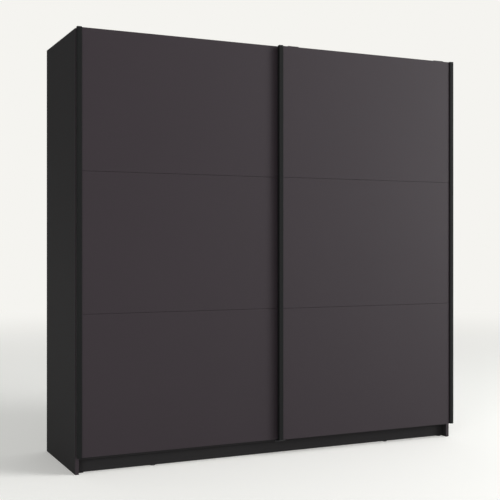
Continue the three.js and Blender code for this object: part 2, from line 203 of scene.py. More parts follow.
def edgedBoard(low, high, edge):
    # a board between two corners, as a plate across its thinnest side
    # its outline's corners have twice the radius of its edges
    size, middle = high - low, (low + high) / 2
    axis = int(np.argmin(size))
    wide, tall = [a for a in range(3) if a != axis]
    outline = roundedRectangle(size[wide], size[tall], 2 * edge, steps=3) + middle[[wide, tall]]
    return plate(outline, axis, low[axis], size[axis], edge)


def prism(outline, axis, start, stop):
    # an outline drawn straight along the axis across it
    return loft(inSpace(np.stack([outline, outline]), axis, [[start], [stop]]))


def turned(profile, centre, axis, steps, closed=False, ripple=None):
    # (radius, height) pairs turned about an axis: radius (cos t, sin t)
    # ripple moves each point along the axis
    profile = np.asarray(profile, float)
    angle = np.linspace(0, 2 * math.pi, steps, endpoint=False)
    circle = np.stack([np.cos(angle), np.sin(angle)], 1)
    wide, tall = [a for a in range(3) if a != axis]
    outlines = np.array(centre)[[wide, tall]] + profile[:, :1, None] * circle
    along = centre[axis] + profile[:, 1:] + (0 if ripple is None else ripple(profile, angle))
    return (ringLoft if closed else loft)(inSpace(outlines, axis, np.broadcast_to(along, outlines.shape[:2])))


def bentStrip(path, middle, widths, thickness, edge):
    # a rounded rectangle carried along a path of (y, z) points
    # its width lies along x and its thickness across the path
    tangent = np.gradient(path, axis=0)
    tangent /= np.linalg.norm(tangent, axis=1)[:, None]
    across = np.stack([tangent[:, 1], -tangent[:, 0]], 1)
    outlines = np.stack([roundedRectangle(width, thickness, edge, steps=2) for width in widths])
    points = path[:, None] + across[:, None] * outlines[:, :, 1:]
    return loft(inSpace(points, xAxis, middle + outlines[:, :, 0]))


# Ends of bent strips: extra points at shares of the corner radius, and how far the corners close
stripEnd = {"shares": (0, 0.08, 0.3, 0.6, 1.0), "closing": 0.995}


def stripPath(corners, bend, tip):
    # the corners filleted, with extra points near both ends for their rounded corners of radius tip
    path = filleted(corners, bend, steps=5, closed=False)
    share = np.array(stripEnd["shares"])[:, None] * tip
    first = path[0] + share * (path[1] - path[0]) / np.linalg.norm(path[1] - path[0])
    last = path[-1] + share[::-1] * (path[-2] - path[-1]) / np.linalg.norm(path[-2] - path[-1])
    return np.concatenate([first, path[1:-1], last])


def roundedEnds(path, width, tip):
    # width less twice r - sqrt(r^2 - (r - s)^2) where the distance s from an end is below r
    run = np.concatenate([[0], np.cumsum(np.linalg.norm(np.diff(path, axis=0), axis=1))])
    near = np.clip(tip - np.minimum(run, run[-1] - run), 0, tip * stripEnd["closing"])
    return width - 2 * (tip - np.sqrt(tip ** 2 - near ** 2))


# Screw heads: rings and recess as shares of the radius, rim and depths as shares of the height
screw = {"rings": (1, 0.97, 0.88, 0.72, 0.5, 0.28, 0.06), "steps": 16, "rim": 0.25,
         "armReach": 0.6, "armDepth": 0.55, "coreDepth": 0.6}


def screwHead(centre, axis, facing, radius, height):
    # a dome over a polar grid: height (rim + (1 - rim) sqrt(1 - share^2)), with its outermost ring at 0
    # the four arms and the core of its cross recess are sunk into it
    share = np.array(screw["rings"])
    arms = np.arange(screw["steps"]) % (screw["steps"] // 4) == 0
    dome = height * (screw["rim"] + (1 - screw["rim"]) * np.sqrt(1 - share ** 2))
    dome[0] = 0
    sunk = screw["armDepth"] * height * (arms[None, :] & (share < screw["armReach"])[:, None])
    sunk[-1] = screw["coreDepth"] * height
    return turned(np.stack([radius * share, 0 * share], 1), centre, axis, screw["steps"],
                  ripple=lambda profile, angle: facing * (dome[:, None] - sunk))


# Materials
def linear(code, alpha=1.0):
    # sRGB hex to linear light: ((c + 0.055) / 1.055)^2.4 above the toe
    value = np.array([int(code[k:k + 2], 16) for k in (1, 3, 5)]) / 255
    light = np.where(value <= 0.04045, value / 12.92, ((value + 0.055) / 1.055) ** 2.4)
    return (*light.tolist(), alpha)


def addNode(tree, kind, inputs=None, links=None, **settings):
    node = tree.nodes.new(kind)
    for key, value in settings.items():
        setattr(node, key, value)
    for key, value in (inputs or {}).items():
        node.inputs[key].default_value = value
    for key, (source, output) in (links or {}).items():
        tree.links.new(source.outputs[output], node.inputs[key])
    return node


# sockets of a colour mix node, which share their names with those of its other data types
mixFactor, mixFirst, mixSecond, mixResult = 0, 6, 7, 2


def surface(name, settings):
    # ground colour with two sizes of variation, fine relief, and a roughness that follows the fine pattern
    material = bpy.data.materials.new(name)
    material.use_nodes = True
    tree = material.node_tree
    shader = tree.nodes["Principled BSDF"]
    place = addNode(tree, "ShaderNodeTexCoord")
    stretched = addNode(tree, "ShaderNodeMapping", {"Scale": settings.get("stretch", (1, 1, 1))},
                        {"Vector": (place, "Object")})
    fine = addNode(tree, "ShaderNodeTexNoise",
                   {"Scale": 1 / settings["grain"], "Detail": 3, "Roughness": 0.6},
                   {"Vector": (stretched, "Vector")})
    broad = addNode(tree, "ShaderNodeTexNoise", {"Scale": 1 / settings["cloud"], "Detail": 2},
                    {"Vector": (place, "Object")})
    fineColour = addNode(tree, "ShaderNodeMix", data_type="RGBA", links={mixFactor: (fine, "Fac")})
    fineColour.inputs[mixFirst].default_value = linear(settings["dark"])
    fineColour.inputs[mixSecond].default_value = linear(settings["light"])
    clouded = addNode(tree, "ShaderNodeMix", data_type="RGBA", blend_type="SOFT_LIGHT",
                      inputs={mixFactor: settings["cloudiness"]})
    tree.links.new(fineColour.outputs[mixResult], clouded.inputs[mixFirst])
    tree.links.new(broad.outputs["Fac"], clouded.inputs[mixSecond])
    rough = addNode(tree, "ShaderNodeMapRange", {"To Min": settings["roughness"] - settings["roughSpread"],
                                                 "To Max": settings["roughness"] + settings["roughSpread"]},
                    {"Value": (fine, "Fac")})
    relief = addNode(tree, "ShaderNodeBump", {"Strength": settings["bump"], "Distance": settings["relief"]},
                     {"Height": (fine, "Fac")})
    tree.links.new(clouded.outputs[mixResult], shader.inputs["Base Color"])
    tree.links.new(rough.outputs["Result"], shader.inputs["Roughness"])
    tree.links.new(relief.outputs["Normal"], shader.inputs["Normal"])
    shader.inputs["Metallic"].default_value = settings.get("metallic", 0)
    shader.inputs["Specular IOR Level"].default_value = settings.get("specular", 0.5)
    return material


# graphite melamine with a pearl print, pressed against a satin plate
# the eye sees a quiet, slightly purple grey with a soft sheen
doorMelamine = surface("pearl_melamine", {
    "dark": "#272025", "light": "#2e272c", "grain": 1.4 * mm, "cloud": 0.35, "cloudiness": 0.04,
    "roughness": 0.52, "roughSpread": 0.04, "bump": 0.12, "relief": 0.05 * mm, "specular": 0.22})

# plain graphite melamine of the carcass, pressed against a finely pored plate: neutral and duller
carcassMelamine = surface("carcass_melamine", {
    "dark": "#252425", "light": "#2b2a2b", "grain": 1.1 * mm, "cloud": 0.3, "cloudiness": 0.04,
    "roughness": 0.65, "roughSpread": 0.05, "bump": 0.15, "relief": 0.05 * mm, "specular": 0.05})

# aluminium, powder coated matt black: the coat's orange peel breaks up the highlight
powderBlack = surface("black_powder_coat", {
    "dark": "#141515", "light": "#1a1b1b", "grain": 0.9 * mm, "cloud": 0.2, "cloudiness": 0.03,
    "roughness": 0.6, "roughSpread": 0.05, "bump": 0.25, "relief": 0.04 * mm, "specular": 0.08})

# hardboard, rolled and lacquered on one side: fibres show as short pale flecks
hardboard = surface("lacquered_hardboard", {
    "dark": "#43403f", "light": "#57524f", "grain": 2.2 * mm, "cloud": 0.12, "cloudiness": 0.15,
    "stretch": (1, 1, 0.35), "roughness": 0.7, "roughSpread": 0.08, "bump": 0.3, "relief": 0.1 * mm,
    "specular": 0.3})

# steel strip, pressed and black coated: thin smooth lacquer, so edges stay crisp
coatedSteel = surface("black_coated_steel", {
    "dark": "#202122", "light": "#2a2b2c", "grain": 0.8 * mm, "cloud": 0.05, "cloudiness": 0.05,
    "roughness": 0.38, "roughSpread": 0.05, "bump": 0.15, "relief": 0.02 * mm, "specular": 0.5})

# zinc-plated steel: bright with a faint cloudy patina
zincSteel = surface("zinc_plated_steel", {
    "dark": "#9a9da0", "light": "#b7babc", "grain": 3 * mm, "cloud": 0.02, "cloudiness": 0.2,
    "roughness": 0.32, "roughSpread": 0.08, "bump": 0.1, "relief": 0.02 * mm, "metallic": 1})

# aluminium, extruded and clear anodised: die lines run along the profile
anodised = surface("anodised_aluminium", {
    "dark": "#a9abad", "light": "#c2c4c5", "grain": 0.8 * mm, "cloud": 0.1, "cloudiness": 0.05,
    "stretch": (0.01, 1, 1), "roughness": 0.35, "roughSpread": 0.06, "bump": 0.2, "relief": 0.03 * mm,
    "metallic": 1})

# polyamide, moulded in an etched tool: matt black with a fine grain
blackPolyamide = surface("black_polyamide", {
    "dark": "#17171a", "light": "#202023", "grain": 0.7 * mm, "cloud": 0.05, "cloudiness": 0.05,
    "roughness": 0.55, "roughSpread": 0.06, "bump": 0.35, "relief": 0.04 * mm, "specular": 0.4})

# acetal, turned after moulding: waxy off-white
acetal = surface("white_acetal", {
    "dark": "#cfcbc0", "light": "#dedbd2", "grain": 0.6 * mm, "cloud": 0.03, "cloudiness": 0.05,
    "roughness": 0.4, "roughSpread": 0.05, "bump": 0.1, "relief": 0.02 * mm, "specular": 0.5})

# polypropylene pile, woven into a tape: fibres along y, duller and paler than moulded plastic
blackPile = surface("black_pile", {
    "dark": "#232425", "light": "#3a3b3c", "grain": 0.5 * mm, "cloud": 0.04, "cloudiness": 0.1,
    "stretch": (1, 0.1, 1), "roughness": 0.9, "roughSpread": 0.05, "bump": 0.6, "relief": 0.2 * mm,
    "specular": 0.1})
print("materials ready")


# Boards: the box of a CAD board with its edges rounded as an edge band is scraped
boards = {"edge": 0.8 * mm, "doorEdge": 0.5 * mm}


def boxOf(node):
    low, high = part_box(node)
    return np.array(low), np.array(high)


def middleOf(node):
    low, high = boxOf(node)
    return (low + high) / 2


def edgedCopy(node, material, body, edge):
    addPiece(f"{node}_edged", [edgedBoard(*boxOf(node), edge)], material, body, [node])


sides = ("left", "right")
doors = ("left_door", "right_door")
carcassBoards = ["plinth_front", "plinth_rear"]
carcassBoards += [f"{kind}_{side}" for side in sides for kind in ("bottom_panel", "top_panel", "shelf")]
for node in carcassBoards:
    edgedCopy(node, carcassMelamine, "carcass", boards["edge"])
for door in doors:
    for place in ("lower", "middle", "upper"):
        edgedCopy(f"{door}_board_{place}", doorMelamine, door, boards["doorEdge"])

# a side panel's front edge carries a band in the doors' decor
# the band's and the panel's rounded edges meet in a shallow joint line
frontBand = {"reach": 1.3 * mm}


def addSidePanel(node):
    low, high = boxOf(node)
    coreFront = low[1] + frontBand["reach"]
    core = edgedBoard(np.array([low[0], coreFront, low[2]]), high, boards["edge"])
    addPiece(f"{node}_edged", [core], carcassMelamine, "carcass", [node])
    band = edgedBoard(low, np.array([high[0], coreFront + boards["edge"], high[2]]), boards["edge"])
    addPiece(f"{node}_front_band", [band], doorMelamine, "carcass")


for side in sides:
    addSidePanel(f"side_panel_{side}")

# the middle panel stands on the floor between the plinths, with a notch at each bottom corner
middleNotch = {"gap": 0.3 * mm, "corner": 1.5 * mm}


def addMiddlePanel():
    low, high = boxOf("middle_panel")
    front = boxOf("plinth_front")[1][1] + middleNotch["gap"]
    rear = boxOf("plinth_rear")[0][1] - middleNotch["gap"]
    step = boxOf("bottom_panel_left")[0][2]
    outline = [(front, low[2]), (rear, low[2]), (rear, step), (high[1], step), (high[1], high[2]),
               (low[1], high[2]), (low[1], step), (front, step)]
    outline = filleted(outline, middleNotch["corner"], steps=3)
    shape = plate(outline, xAxis, low[0], high[0] - low[0], boards["edge"])
    addPiece("middle_panel_edged", [shape], carcassMelamine, "carcass", ["middle_panel"])


addMiddlePanel()
print("boards edged")

# Door bars: an extruded grip with a groove for the boards, a slot for the guide at its foot and a cap on top
bar = {"proud": 7 * mm, "grooveDepth": 8 * mm, "grooveSlack": 0.2 * mm, "board": 8 * mm,
       "frontRound": 2.2 * mm, "corner": 0.3 * mm, "slotHeight": 16 * mm, "slotFar": 3.5 * mm,
       "slotNear": 1.0 * mm, "cap": 2.0 * mm, "capInset": 0.15 * mm, "capRound": 0.5 * mm}


def barOutline(low, high, back, grooveSide):
    # (x, y) corners from the outer end inwards, mirrored for a bar whose groove faces -x
    width, front = high[0] - low[0], low[1]
    grooveFront = front + bar["proud"] - bar["grooveSlack"]
    grooveRear = front + bar["proud"] + bar["board"] + bar["grooveSlack"]
    end = width - bar["grooveDepth"]
    corners = np.array([(0, back), (0, front), (width, front), (width, grooveFront), (end, grooveFront),
                        (end, grooveRear), (width, grooveRear), (width, back)])
    corners[:, 0] = low[0] + corners[:, 0] if grooveSide > 0 else high[0] - corners[:, 0]
    reach = np.full(8, bar["corner"])
    reach[1:3] = bar["frontRound"]
    return filleted(corners, reach, steps=5)


def addBar(door, side):
    node = f"{door}_bar_{side}"
    low, high = boxOf(node)
    grooveSide = 1 if side == "left" else -1
    slotTop, capFoot = low[2] + bar["slotHeight"], high[2] - bar["cap"]
    front = barOutline(low, high, high[1] - bar["slotFar"], grooveSide)
    rear = filleted([(low[0], high[1]), (low[0], high[1] - bar["slotNear"]),
                     (high[0], high[1] - bar["slotNear"]), (high[0], high[1])], bar["corner"], steps=5)
    shapes = [prism(barOutline(low, high, high[1], grooveSide), zAxis, slotTop, capFoot),
              prism(front, zAxis, low[2], slotTop), prism(rear, zAxis, low[2], slotTop)]
    addPiece(f"{node}_profile", shapes, powderBlack, door, [node])
    size = (high - low)[:2] - 2 * bar["capInset"]
    capOutline = roundedRectangle(*size, bar["frontRound"], steps=4) + (low + high)[:2] / 2
    cap = plate(capOutline, zAxis, capFoot, bar["cap"], bar["capRound"])
    addPiece(f"{node}_cap", [cap], blackPolyamide, door)


# Door rails behind the boards: flat extrusions, the bottom one a channel over the guide
rail = {"edge": 0.3 * mm, "corner": 0.6 * mm, "pocketGap": 0.3 * mm}


def addRails(door, pocketed):
    for place in ("cross_rail_lower", "cross_rail_upper"):
        edgedCopy(f"{door}_{place}", powderBlack, door, rail["edge"])
    low, high = boxOf(f"{door}_bottom_rail")
    far, near, top = high[1] - bar["slotFar"], high[1] - bar["slotNear"], low[2] + bar["slotHeight"]
    channel = [(low[1], low[2]), (far, low[2]), (far, top), (near, top), (near, low[2]),
               (high[1], low[2]), (high[1], high[2]), (low[1], high[2])]
    shape = prism(filleted(channel, rail["edge"], steps=3), xAxis, low[0], high[0])
    addPiece(f"{door}_bottom_rail_channel", [shape], powderBlack, door, [f"{door}_bottom_rail"])
    if not pocketed:
        edgedCopy(f"{door}_top_rail", powderBlack, door, rail["edge"])
        return
    low, high = boxOf(f"{door}_top_rail")
    outline = [(low[0], high[2]), (low[0], low[2]), (high[0], low[2]), (high[0], high[2])]
    for side in reversed(sides):
        hangerLow, hangerHigh = boxOf(f"{door}_hanger_{side}")
        foot = hangerLow[2] - rail["pocketGap"]
        start, stop = hangerHigh[0] + rail["pocketGap"], hangerLow[0] - rail["pocketGap"]
        outline += [(start, high[2]), (start, foot), (stop, foot), (stop, high[2])]
    outline = filleted(outline, rail["corner"], steps=3)
    shape = plate(outline, yAxis, low[1], high[1] - low[1], rail["edge"])
    addPiece(f"{door}_top_rail_pocketed", [shape], powderBlack, door, [f"{door}_top_rail"])


# Brush seal: a pile strip behind the closing bar, short of the side panel's front edge
seal = {"width": 5 * mm, "inset": 1.5 * mm, "clear": 0.6 * mm, "tip": 0.8 * mm, "root": 0.2 * mm,
        "endGap": 4 * mm}


def addSeal():
    low, high = boxOf("left_door_bar_left")
    tip = boxOf("side_panel_left")[0][1] - seal["clear"]
    left, right = low[0] + seal["inset"], low[0] + seal["inset"] + seal["width"]
    outline = filleted([(left, high[1]), (left, tip), (right, tip), (right, high[1])],
                       [seal["root"], seal["tip"], seal["tip"], seal["root"]], steps=4)
    foot = low[2] + bar["slotHeight"] + seal["endGap"]
    top = boxOf("left_door_top_rail")[1][2] - seal["endGap"]
    strip = prism(outline, zAxis, foot, top)
    addPiece("left_door_brush_seal", [strip], blackPile, "left_door")


for door in doors:
    for side in sides:
        addBar(door, side)
    addRails(door, pocketed=door == "right_door")
addSeal()
print("door frames made")

# Wheels: moulded, a groove for the rib and a recessed web with six ribs on each face
wheel = {"bore": 4.3 * mm, "hub": 8 * mm, "web": 13.4 * mm, "tread": 15 * mm, "recess": 1.8 * mm,
         "round": 0.5 * mm, "grooveMouth": 2.2 * mm, "grooveFloor": 1.6 * mm,
         "ribs": 6, "ribShare": 0.2, "ribRise": 0.7}


def addWheel(name):
    low, high = boxOf(name)
    half, flange = (high[1] - low[1]) / 2, (high[2] - low[2]) / 2
    edge, face = wheel["round"], (high[1] - low[1]) / 2 - wheel["recess"]
    side = [(wheel["bore"], half - edge), (wheel["bore"] + edge, half), (wheel["hub"] - edge, half),
            (wheel["hub"], half - edge), (wheel["hub"] + edge, face), (wheel["web"] - edge, face),
            (wheel["web"], half - edge), (wheel["web"] + edge, half), (flange - edge, half),
            (flange, half - edge), (flange, half - 3 * edge),
            (wheel["tread"] + edge, wheel["grooveMouth"]), (wheel["tread"], wheel["grooveFloor"])]
    side = np.array(side)
    profile = np.concatenate([side, side[::-1] * (1, -1)])

    def ribs(profile, angle):
        radius, height = profile.T
        inWeb = (radius > wheel["hub"]) & (radius < wheel["web"]) & (np.abs(np.abs(height) - face) < edge / 2)
        onRib = (angle * wheel["ribs"] / (2 * math.pi)) % 1 < wheel["ribShare"]
        return wheel["recess"] * wheel["ribRise"] * (np.sign(height) * inWeb)[:, None] * onRib

    shape = turned(profile, (low + high) / 2, yAxis, steps=60, closed=True, ripple=ribs)
    addPiece(f"{name}_moulded", [shape], acetal, name, [name])


# Hangers: pressed steel; the left door's are flat plates, the right door's are bent over the left door
hanger = {"steel": 2.5 * mm, "edge": 0.4 * mm, "corner": 5 * mm, "crank": 32 * mm, "bend": 5 * mm,
          "taper": 8 * mm, "footDrop": 2 * mm,
          "spacer": 7 * mm, "shoulder": 6.5 * mm, "journal": 4 * mm, "endGap": 0.5 * mm, "head": 1.5 * mm,
          "dome": ((0.8, 0.9), (0.2, 1)), "bevel": 0.4 * mm,
          "screw": 4.2 * mm, "screwRise": 1.6 * mm, "screwInset": 14 * mm,
          "straightRows": (9 * mm, 22 * mm), "crankedRows": (12 * mm, 36 * mm)}


def axleShape(plateRear, wheelLow, wheelHigh):
    # shoulder, journal and a domed head behind the wheel, as one profile turned about y
    centre = (wheelLow + wheelHigh) / 2
    start = plateRear - centre[1] - hanger["steel"] / 2
    near = wheelLow[1] - centre[1] - hanger["endGap"]
    far = wheelHigh[1] - centre[1] + hanger["endGap"]
    shoulder, bevel = hanger["shoulder"], hanger["bevel"]
    profile = [(shoulder, start), (shoulder, near - bevel), (shoulder - bevel, near),
               (hanger["journal"], near), (hanger["journal"], far), (shoulder - bevel, far),
               (shoulder, far + bevel)]
    profile += [(shoulder * reach, far + hanger["head"] * rise) for reach, rise in hanger["dome"]]
    return turned(profile, centre, yAxis, steps=32)


def screwPlaces(low, high, foot, rows):
    # two columns of screws, inset from the plate's sides, in rows above its foot
    inset = hanger["screwInset"]
    return [(x, foot + z) for z in rows for x in (low[0] + inset, high[0] - inset)]


def addStraightHanger(door, side):
    node = f"{door}_hanger_{side}"
    low, high = boxOf(node)
    wheelLow, wheelHigh = boxOf(f"{door}_wheel_{side}")
    middle, half = (low[0] + high[0]) / 2, (high[0] - low[0]) / 2
    axleZ = (wheelLow[2] + wheelHigh[2]) / 2
    crown = half / 2
    corners = [(-half, low[2]), (half, low[2]), (half, axleZ - crown), (crown, axleZ + crown),
               (-crown, axleZ + crown), (-half, axleZ - crown)]
    outline = filleted(np.array(corners) + (middle, 0), hanger["corner"], steps=5)
    shape = plate(outline, yAxis, low[1], hanger["steel"], hanger["edge"])
    addPiece(f"{node}_pressed", [shape], coatedSteel, door, [node])
    rear = low[1] + hanger["steel"]
    screws = [screwHead((x, rear, z), yAxis, 1, hanger["screw"], hanger["screwRise"])
              for x, z in screwPlaces(low, high, low[2], hanger["straightRows"])]
    axle = axleShape(rear, wheelLow, wheelHigh)
    addPiece(f"{node}_fixings", [axle] + screws, zincSteel, door)


def addCrankedHanger(door, side):
    node = f"{door}_hanger_{side}"
    low, high = boxOf(node)
    wheelLow, wheelHigh = boxOf(f"{door}_wheel_{side}")
    halfSteel = hanger["steel"] / 2
    plateRear = wheelLow[1] - hanger["spacer"]
    legY, plateY, armZ = low[1] + halfSteel, plateRear - halfSteel, high[2] - halfSteel
    foot = (wheelLow[2] + wheelHigh[2]) / 2 - hanger["shoulder"] - hanger["footDrop"]
    corners = [(legY, low[2]), (legY, armZ), (plateY, armZ), (plateY, foot)]
    path = stripPath(corners, hanger["bend"], hanger["corner"])
    widths = roundedEnds(path, high[0] - low[0], hanger["corner"])
    # the leg and arm keep the full width until they narrow to the crank's, just before the rear bend
    taper = np.clip((plateY - path[:, 0] - hanger["bend"]) / hanger["taper"], 0, 1)
    crankWidths = roundedEnds(path, hanger["crank"], hanger["corner"])
    widths = crankWidths + (widths - crankWidths) * taper
    middle = (low[0] + high[0]) / 2
    shape = bentStrip(path, middle, widths, hanger["steel"], hanger["edge"])
    addPiece(f"{node}_pressed", [shape], coatedSteel, door, [node])
    rear = low[1] + hanger["steel"]
    screws = [screwHead((x, rear, z), yAxis, 1, hanger["screw"], hanger["screwRise"])
              for x, z in screwPlaces(low, high, low[2], hanger["crankedRows"])]
    axle = axleShape(plateRear, wheelLow, wheelHigh)
    addPiece(f"{node}_fixings", [axle] + screws, zincSteel, door)


for side in sides:
    addStraightHanger("left_door", side)
    addCrankedHanger("right_door", side)
    for door in doors:
        addWheel(f"{door}_wheel_{side}")
print("running gear made")

# Top track: an extrusion with a rib for each door's wheels, screwed down between the ribs
track = {"base": 2.5 * mm, "wall": 2 * mm, "rib": 3 * mm, "ribTop": 2 * mm, "ribHeight": 18 * mm,
         "frontLip": 8 * mm, "rearLip": 22 * mm, "round": 0.35 * mm,
         "screwSpan": 1960 * mm, "screws": 8, "screw": 4 * mm, "screwRise": 1.4 * mm}


def ribCorners(y, foot):
    half, top = track["rib"] / 2, track["ribTop"] / 2
    shoulder, peak = foot + track["ribHeight"] - (half - top), foot + track["ribHeight"]
    return [(y + half, foot + track["base"]), (y + half, shoulder), (y + top, peak), (y - top, peak),
            (y - half, shoulder), (y - half, foot + track["base"])]


def addTrack():
    low, high = boxOf("top_track")
    foot, wall = low[2], track["wall"]
    ribY = [middleOf(f"{door}_wheel_left")[1] for door in doors]
    outline = [(low[1], foot), (high[1], foot), (high[1], foot + track["rearLip"]),
               (high[1] - wall, foot + track["rearLip"]), (high[1] - wall, foot + track["base"]),
               *ribCorners(max(ribY), foot), *ribCorners(min(ribY), foot),
               (low[1] + wall, foot + track["base"]), (low[1] + wall, foot + track["frontLip"]),
               (low[1], foot + track["frontLip"])]
    shape = prism(filleted(outline, track["round"], steps=3), xAxis, low[0], high[0])
    addPiece("top_track_extrusion", [shape], anodised, "carcass", ["top_track"])
    places = np.linspace(-0.5, 0.5, track["screws"]) * track["screwSpan"]
    head = (track["screw"], track["screwRise"])
    screws = [screwHead((x, sum(ribY) / 2, foot + track["base"]), zAxis, 1, *head) for x in places]
    addPiece("top_track_screws", screws, zincSteel, "carcass")


addTrack()

# Clothes rails and their sockets: ovals whose loops follow (inset, place along x) pairs
closet = {"wall": 1.2 * mm, "burr": 0.3 * mm, "rim": 4 * mm, "plate": 3 * mm, "collar": 2 * mm,
          "fillet": 0.3 * mm, "plateRound": 0.8 * mm, "collarRound": 0.6 * mm, "rimRound": 0.4 * mm}


def ovalLoops(low, high, inset):
    size, middle = (high - low)[1:], (low + high)[1:] / 2
    return np.stack([ovalOutline(*(size - 2 * step)) + middle for step in inset])


def addClothesRail(side):
    low, high = boxOf(f"clothes_rail_{side}")
    wall, burr = closet["wall"], closet["burr"]
    inset = np.array([burr, 0, 0, burr, wall - burr, wall, wall, wall - burr])
    along = np.array([low[0], low[0] + burr, high[0] - burr, high[0]])
    along = np.concatenate([along, along[::-1]])
    shape = ringLoft(inSpace(ovalLoops(low, high, inset), xAxis, along[:, None]))
    addPiece(f"clothes_rail_{side}_tube", [shape], zincSteel, "carcass",
             [f"clothes_rail_{side}"])


def addRailSocket(side, place):
    node = f"rail_socket_{side}_{place}"
    low, high = boxOf(node)
    depth, collar, rim, plateDepth = high[0] - low[0], closet["collar"], closet["rim"], closet["plate"]
    fillet, plateRound, collarRound = closet["fillet"], closet["plateRound"], closet["collarRound"]
    profile = np.array([(fillet, 0), (0, fillet), (0, plateDepth - plateRound), (plateRound, plateDepth),
                        (collar - fillet, plateDepth), (collar, plateDepth + fillet),
                        (collar, depth - collarRound), (collar + collarRound, depth),
                        (rim - fillet, depth), (rim, depth - closet["rimRound"]), (rim, plateDepth)])
    facesRight = (side == "left") == (place == "outer")
    along = low[0] + profile[:, 1] if facesRight else high[0] - profile[:, 1]
    shape = loft(inSpace(ovalLoops(low, high, profile[:, 0]), xAxis, along[:, None]))
    addPiece(f"{node}_pressed", [shape], zincSteel, "carcass", [node])


# Shelf pins: a steel pin with a collar, two under each end of a hat shelf
pin = {"radius": 2.5 * mm, "collar": 4 * mm, "collarDepth": 0.8 * mm, "neck": 1.2 * mm, "length": 8 * mm,
       "tip": 1 * mm, "tipShare": 0.6, "core": 0.2 * mm, "inset": 60 * mm}


def addShelfPins(side):
    low, high = boxOf(f"shelf_{side}")
    radius, length = pin["radius"], pin["length"]
    profile = [(pin["collar"], 0), (pin["collar"], pin["collarDepth"]), (radius, pin["neck"]),
               (radius, length - pin["tip"]), (radius * pin["tipShare"], length), (pin["core"], length)]
    shapes = []
    for end, facing in ((low[0], 1), (high[0], -1)):
        for y in (low[1] + pin["inset"], high[1] - pin["inset"]):
            along = [(reach, facing * place) for reach, place in profile]
            shapes.append(turned(along, (end, y, low[2] - pin["collar"]), xAxis, steps=16))
    addPiece(f"shelf_pins_{side}", shapes, zincSteel, "carcass")


# Glides: moulded pucks under the front plinth
glide = {"round": 1 * mm, "core": 0.3 * mm, "points": 5}


def addGlide(node):
    low, high = boxOf(node)
    radius, rise, edge = (high[0] - low[0]) / 2, high[2] - low[2], glide["round"]
    turn = np.linspace(0, math.pi / 2, glide["points"])
    foot = np.stack([radius - edge + edge * np.sin(turn), edge - edge * np.cos(turn)], 1)
    profile = np.concatenate([[(glide["core"], 0)], foot, [(radius, rise), (glide["core"], rise)]])
    centre = ((low[0] + high[0]) / 2, (low[1] + high[1]) / 2, low[2])
    puck = turned(profile, centre, zAxis, steps=32)
    addPiece(f"{node}_moulded", [puck], blackPolyamide, "carcass", [node])


# Wall brackets: a bent strip with rounded ends, two screws down into the top panel and one back into the wall
bracket = {"steel": 2 * mm, "edge": 0.35 * mm, "bend": 4 * mm, "corner": 6 * mm,
           "screw": 4.5 * mm, "screwRise": 2 * mm, "baseScrews": (12 * mm, 34 * mm), "wallScrew": 14 * mm}


def addWallBracket(side):
    node = f"wall_bracket_{side}"
    low, high = boxOf(node)
    half, middle = bracket["steel"] / 2, (low[0] + high[0]) / 2
    corners = [(low[1], low[2] + half), (high[1] - half, low[2] + half), (high[1] - half, high[2])]
    path = stripPath(corners, bracket["bend"], bracket["corner"])
    widths = roundedEnds(path, high[0] - low[0], bracket["corner"])
    shape = bentStrip(path, middle, widths, bracket["steel"], bracket["edge"])
    head = (bracket["screw"], bracket["screwRise"])
    screws = [screwHead((middle, low[1] + fromFront, low[2] + bracket["steel"]), zAxis, 1, *head)
              for fromFront in bracket["baseScrews"]]
    wallPlace = (middle, high[1] - bracket["steel"], high[2] - bracket["wallScrew"])
    screws.append(screwHead(wallPlace, yAxis, -1, *head))
    addPiece(f"{node}_bent", [shape], zincSteel, "carcass", [node])
    addPiece(f"{node}_screws", screws, zincSteel, "carcass")


# Back nails: small domes along the edges of the back sheets, which they hold to the carcass boards
nails = {"radius": 2.2 * mm, "rise": 0.8 * mm, "pitch": 140 * mm, "inset": 8 * mm, "middleInset": 4 * mm,
         "stripClear": 20 * mm, "dome": ((1, 0), (0.8, 0.7), (0.3, 1))}


def addBackNails(side):
    outerLow, outerHigh = boxOf(f"back_panel_{side}_outer")
    innerLow, innerHigh = boxOf(f"back_panel_{side}_inner")
    low, high = np.minimum(outerLow, innerLow), np.maximum(outerHigh, innerHigh)
    left, right = low[0] + nails["inset"], high[0] - nails["inset"]
    bottom, top = low[2] + nails["inset"], high[2] - nails["inset"]
    if side == "left":
        right = high[0] - nails["middleInset"]
    else:
        left = low[0] + nails["middleInset"]
    upright = np.linspace(bottom, top, round((top - bottom) / nails["pitch"]) + 1)
    across = np.linspace(left, right, round((right - left) / nails["pitch"]) + 1)[1:-1]
    stripMiddle = middleOf(f"back_strip_{side}")[0]
    across = across[np.abs(across - stripMiddle) > nails["stripClear"]]
    nailX = right if side == "left" else left
    places = [(nailX, z) for z in upright] + [(x, z) for x in across for z in (bottom, top)]
    profile = np.array(nails["dome"]) * (nails["radius"], nails["rise"])
    shapes = [turned(profile, (x, high[1], z), yAxis, steps=10) for x, z in places]
    addPiece(f"back_nails_{side}", shapes, zincSteel, "carcass")


for side in sides:
    addClothesRail(side)
    addShelfPins(side)
    addWallBracket(side)
    addBackNails(side)
    for place in ("outer", "inner"):
        addRailSocket(side, place)
        addGlide(f"plinth_glide_{side}_{place}")

# Guide screws: two up through the base of the bottom guide
guide = {"screw": 4 * mm, "screwRise": 1.5 * mm, "span": 24 * mm, "fromRear": 12 * mm}


def addGuideScrews():
    low, high = boxOf("bottom_guide")
    rear = high[1] - guide["fromRear"]
    screws = [screwHead((x, rear, low[2]), zAxis, -1, guide["screw"], guide["screwRise"])
              for x in (-guide["span"] / 2, guide["span"] / 2)]
    addPiece("bottom_guide_screws", screws, zincSteel, "carcass")


addGuideScrews()
print("fittings made")

